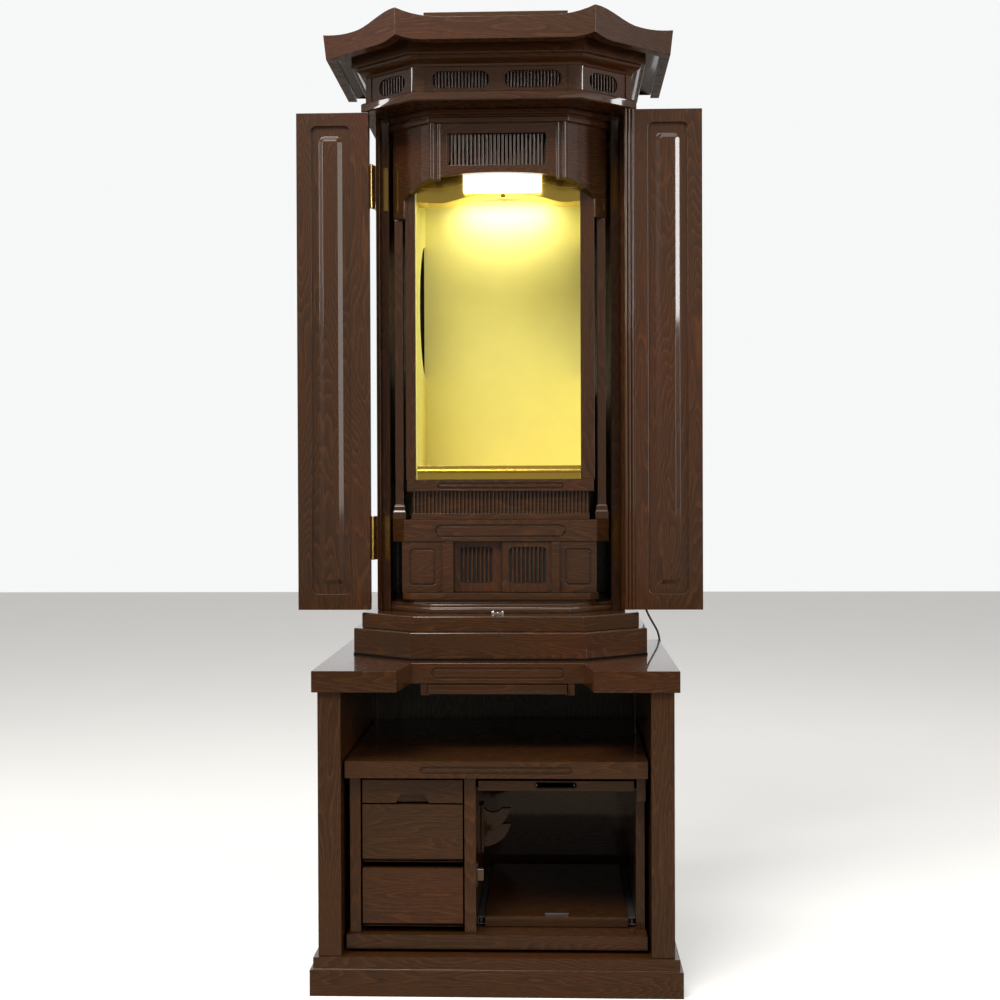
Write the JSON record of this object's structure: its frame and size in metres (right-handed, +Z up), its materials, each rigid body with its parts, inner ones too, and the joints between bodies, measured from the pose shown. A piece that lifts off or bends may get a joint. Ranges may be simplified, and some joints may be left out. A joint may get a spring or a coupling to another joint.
{
  "type": "household altar cabinet on stand",
  "caption": "Household altar cabinet with folding doors, gilded niche and canted roof, on a stand with drawers, a pull-out shelf and an open compartment.",
  "frame": {"origin": "centre of the stand's underside on the floor", "axes": "+X to the viewer's right, +Y to the back, +Z up"},
  "size_m": [0.7196, 0.5833, 1.638],
  "materials": {
    "lacquered_wood": "satin-gloss dark brown lacquer over open cathedral grain",
    "plain_wood": "matt dark brown stained panel",
    "gold_leaf": "pale lemon gold leaf",
    "hinge_brass": "polished brass",
    "black_plastic": "gloss black",
    "cord_rubber": "matt black sheath",
    "mat_fabric": "black felt",
    "lit_diffuser": "opal white, lit"
  },
  "bodies": {
    "cabinet": {"stand_plinth": "lacquered_wood", "stand_side_left": "lacquered_wood", "stand_side_right": "lacquered_wood", "stand_top": "lacquered_wood", "unit_top": "lacquered_wood", "unit_side_left": "lacquered_wood", "unit_partition": "lacquered_wood", "unit_side_right": "lacquered_wood", "unit_bottom": "lacquered_wood", "bead_hooks": "lacquered_wood", "base_step_low": "lacquered_wood", "base_step_mid": "lacquered_wood", "altar_floor": "lacquered_wood", "cabinet_side_left": "lacquered_wood", "cabinet_side_right": "lacquered_wood", "row_end_left": "lacquered_wood", "row_end_right": "lacquered_wood", "second_shelf": "lacquered_wood", "ribbed_panel": "lacquered_wood", "niche_shelf": "lacquered_wood", "inner_post_left": "lacquered_wood", "inner_post_right": "lacquered_wood", "niche_wall_left": "lacquered_wood", "niche_wall_right": "lacquered_wood", "valance": "lacquered_wood", "transom": "lacquered_wood", "cornice": "lacquered_wood", "roof_body": "lacquered_wood", "roof_fascia": "lacquered_wood", "stand_back": "plain_wood", "cabinet_back": "plain_wood", "gold_side_left": "gold_leaf", "gold_side_right": "gold_leaf", "gold_back": "gold_leaf", "gold_floor": "gold_leaf", "gold_arch": "gold_leaf", "hinge_low_left": "hinge_brass", "hinge_high_left": "hinge_brass", "hinge_low_right": "hinge_brass", "hinge_high_right": "hinge_brass", "cord_relief": "cord_rubber", "power_cord": "cord_rubber", "cord_coil": "cord_rubber", "plug": "cord_rubber", "base_mat": "mat_fabric", "lamp": "lit_diffuser"},
    "door_side_left": {"door_side_left": "lacquered_wood"},
    "door_front_left": {"door_front_left": "lacquered_wood"},
    "door_side_right": {"door_side_right": "lacquered_wood"},
    "door_front_right": {"door_front_right": "lacquered_wood"},
    "drawer_bottom": {"drawer_bottom": "lacquered_wood"},
    "drawer_middle": {"drawer_middle": "lacquered_wood"},
    "drawer_small": {"drawer_small": "lacquered_wood"},
    "slide_shelf": {"slide_shelf": "lacquered_wood"},
    "pull_out_board": {"pull_out_board": "lacquered_wood", "board_pull": "black_plastic"},
    "tray": {"tray": "lacquered_wood"},
    "sliding_door_left": {"sliding_door_left": "lacquered_wood"},
    "sliding_door_right": {"sliding_door_right": "lacquered_wood"}
  },
  "joints": [
    {"name": "door_left_close", "type": "hinge", "parent": "cabinet", "child": "door_side_left", "pos_m": [-0.23251, 0.02666, 1.0525], "axis": [0, 0, 1], "range_deg": [0, 140.5]},
    {"name": "door_left_unfold", "type": "hinge", "parent": "door_side_left", "child": "door_front_left", "pos_m": [-0.35167, 0.00316, 1.0525], "axis": [0, 0, -1], "range_deg": [0, 140.5]},
    {"name": "door_right_close", "type": "hinge", "parent": "cabinet", "child": "door_side_right", "pos_m": [0.23251, 0.02666, 1.0525], "axis": [0, 0, -1], "range_deg": [0, 140.5]},
    {"name": "door_right_unfold", "type": "hinge", "parent": "door_side_right", "child": "door_front_right", "pos_m": [0.35167, 0.00316, 1.0525], "axis": [0, 0, 1], "range_deg": [0, 140.5]},
    {"name": "drawer_bottom_out", "type": "slide", "parent": "cabinet", "child": "drawer_bottom", "axis": [0, -1, 0], "range_m": [0, 0.3]},
    {"name": "drawer_middle_out", "type": "slide", "parent": "cabinet", "child": "drawer_middle", "axis": [0, -1, 0], "range_m": [0, 0.3]},
    {"name": "drawer_small_out", "type": "slide", "parent": "cabinet", "child": "drawer_small", "axis": [0, -1, 0], "range_m": [0, 0.3]},
    {"name": "shelf_out", "type": "slide", "parent": "cabinet", "child": "slide_shelf", "axis": [0, -1, 0], "range_m": [0, 0.2]},
    {"name": "board_out", "type": "slide", "parent": "cabinet", "child": "pull_out_board", "axis": [0, -1, 0], "range_m": [0, 0.22]},
    {"name": "tray_out", "type": "slide", "parent": "cabinet", "child": "tray", "axis": [0, -1, 0], "range_m": [0, 0.25]},
    {"name": "sliding_door_left_open", "type": "slide", "parent": "cabinet", "child": "sliding_door_left", "axis": [1, 0, 0], "range_m": [0, 0.08]},
    {"name": "sliding_door_right_open", "type": "slide", "parent": "cabinet", "child": "sliding_door_right", "axis": [-1, 0, 0], "range_m": [0, 0.08]}
  ],
  "couplings": [
    {"joint": "door_left_unfold", "follows": "door_left_close", "ratio": 1},
    {"joint": "door_right_unfold", "follows": "door_right_close", "ratio": 1}
  ]
}
